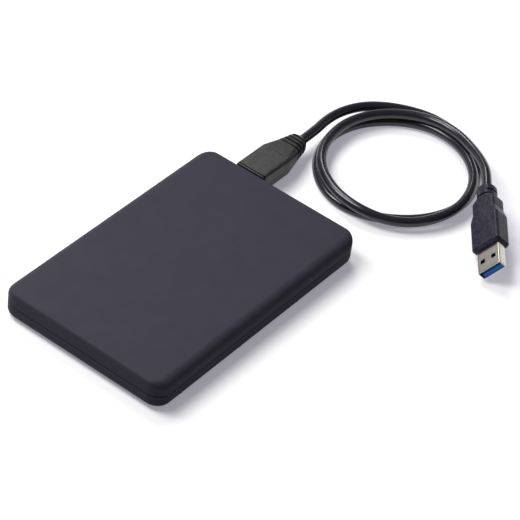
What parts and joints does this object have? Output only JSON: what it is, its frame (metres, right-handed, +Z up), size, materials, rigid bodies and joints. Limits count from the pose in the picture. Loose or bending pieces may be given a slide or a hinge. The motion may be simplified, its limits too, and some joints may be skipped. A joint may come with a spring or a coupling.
{
  "type": "external hard drive",
  "caption": "Flat portable hard drive in a two-part matte case with rounded edges, its looped lead plugged in at the rear end and a wide plug for the computer.",
  "frame": {"origin": "under the middle of the case, on the surface that its feet stand on", "axes": "+Z up; +Y along the case, towards the rear end where the lead leaves; +X across the case"},
  "size_m": [0.1379, 0.2326, 0.0174],
  "materials": {
    "soft_touch_case": "soft-touch lacquer on moulded ABS",
    "foot_rubber": "matte",
    "grip_grey": "fine moulded grain",
    "grip_black": "fine moulded grain",
    "cord_pvc": "satin extruded PVC",
    "nickel_shell": "bright nickel plate",
    "blue_insulator": "moulded",
    "black_insulator": "moulded",
    "gold_contact": "flash gold",
    "board_laminate": "solder mask",
    "chip_epoxy": "moulded epoxy",
    "small_metal": "plated",
    "ceramic": "sintered",
    "led_resin": "clear resin",
    "clear_acrylic": "moulded",
    "black_foam": "open cell",
    "cast_aluminium": "die cast",
    "machined_aluminium": "turned and milled",
    "stamped_lid": "stamped",
    "gasket_rubber": "moulded",
    "platter_coating": "polished",
    "stator_winding": "enamelled copper",
    "magnet_plate_steel": "nickel plated",
    "ramp_polymer": "moulded",
    "filter_paper": "pressed fibre"
  },
  "bodies": {
    "housing": {"activity_led": "led_resin", "air_filter": "filter_paper", "bearing_sleeve": "small_metal", "board_capacitors": "ceramic", "board_crystal": "small_metal", "board_screws": "small_metal", "bottom_tray": "soft_touch_case", "bridge_board": "board_laminate", "bridge_chip": "chip_epoxy", "cord_coil": "cord_pvc", "cord_lead": "cord_pvc", "cord_tail": "cord_pvc", "drive_base": "cast_aluminium", "drive_board": "board_laminate", "drive_board_screws": "small_metal", "drive_chips": "chip_epoxy", "drive_connector": "black_insulator", "drive_lid": "stamped_lid", "drive_plug_body": "grip_grey", "drive_plug_shell": "nickel_shell", "drive_socket": "black_insulator", "foam_pad": "black_foam", "foot_front_left": "foot_rubber", "foot_front_right": "foot_rubber", "foot_rear_left": "foot_rubber", "foot_rear_right": "foot_rubber", "head_ramp": "ramp_polymer", "host_plug_body": "grip_black", "host_plug_contacts": "gold_contact", "host_plug_shell": "nickel_shell", "host_plug_tongue": "blue_insulator", "lid_gasket": "gasket_rubber", "lid_screws": "small_metal", "light_pipe": "clear_acrylic", "magnet_lower": "magnet_plate_steel", "magnet_plate_lower": "magnet_plate_steel", "magnet_plate_upper": "magnet_plate_steel", "magnet_posts": "small_metal", "magnet_upper": "magnet_plate_steel", "motor_stator": "stator_winding", "pivot_shaft": "small_metal", "port_shell": "nickel_shell", "port_tongue": "black_insulator", "top_cover": "soft_touch_case"},
    "platter_stack": {"rotor_magnet": "magnet_plate_steel", "spindle_hub": "machined_aluminium", "spindle_shaft": "small_metal", "platter_lower": "platter_coating", "platter_spacer": "small_metal", "platter_upper": "platter_coating", "disk_clamp": "small_metal", "clamp_screw": "small_metal"},
    "head_arm": {"pivot_sleeve": "small_metal", "actuator_arm": "machined_aluminium", "head_suspensions": "small_metal", "head_sliders": "ceramic", "voice_coil": "stator_winding"}
  },
  "joints": [
    {"name": "platter_spin", "type": "hinge", "parent": "housing", "child": "platter_stack", "pos_m": [0, -0.0278, 0.0088], "axis": [0, 0, 1], "continuous": true},
    {"name": "arm_swing", "type": "hinge", "parent": "housing", "child": "head_arm", "pos_m": [0.01432, 0.0129, 0.0088], "axis": [0, 0, 1], "range_deg": [0, 32]}
  ]
}
